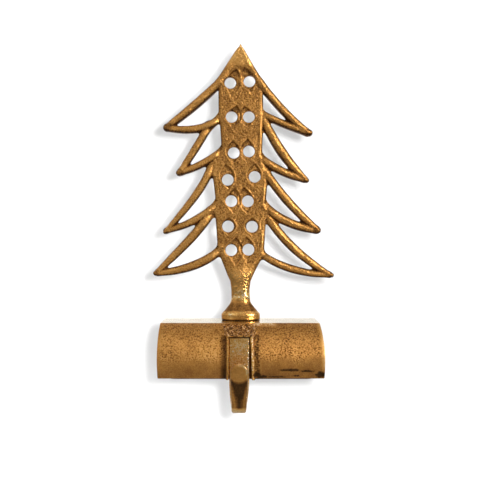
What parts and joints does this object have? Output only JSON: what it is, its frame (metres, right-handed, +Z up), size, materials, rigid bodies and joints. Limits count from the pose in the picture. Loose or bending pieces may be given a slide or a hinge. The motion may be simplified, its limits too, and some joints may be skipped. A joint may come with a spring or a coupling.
{
  "type": "mantel stocking holder",
  "caption": "Weighted brass mantel stocking holder: openwork evergreen silhouette on a rounded block base, with an upturned hook in front",
  "frame": {"origin": "centre of the felt's underside, on the plane where the holder stands on the mantel", "axes": "+X to the right seen from the front, -Y to the front where the hook hangs, +Z up"},
  "size_m": [0.1086, 0.0553, 0.213],
  "materials": {
    "cast_brass": "antiqued as-cast",
    "zinc_steel": "zinc plated",
    "felt": "pressed felt"
  },
  "bodies": {
    "root": {"base_casting": "cast_brass", "tree_casting": "cast_brass", "stocking_hook": "cast_brass", "tree_screw": "zinc_steel", "tree_washer": "zinc_steel", "hook_screw": "zinc_steel", "hook_washer": "zinc_steel", "felt_pad": "felt"}
  },
  "joints": []
}
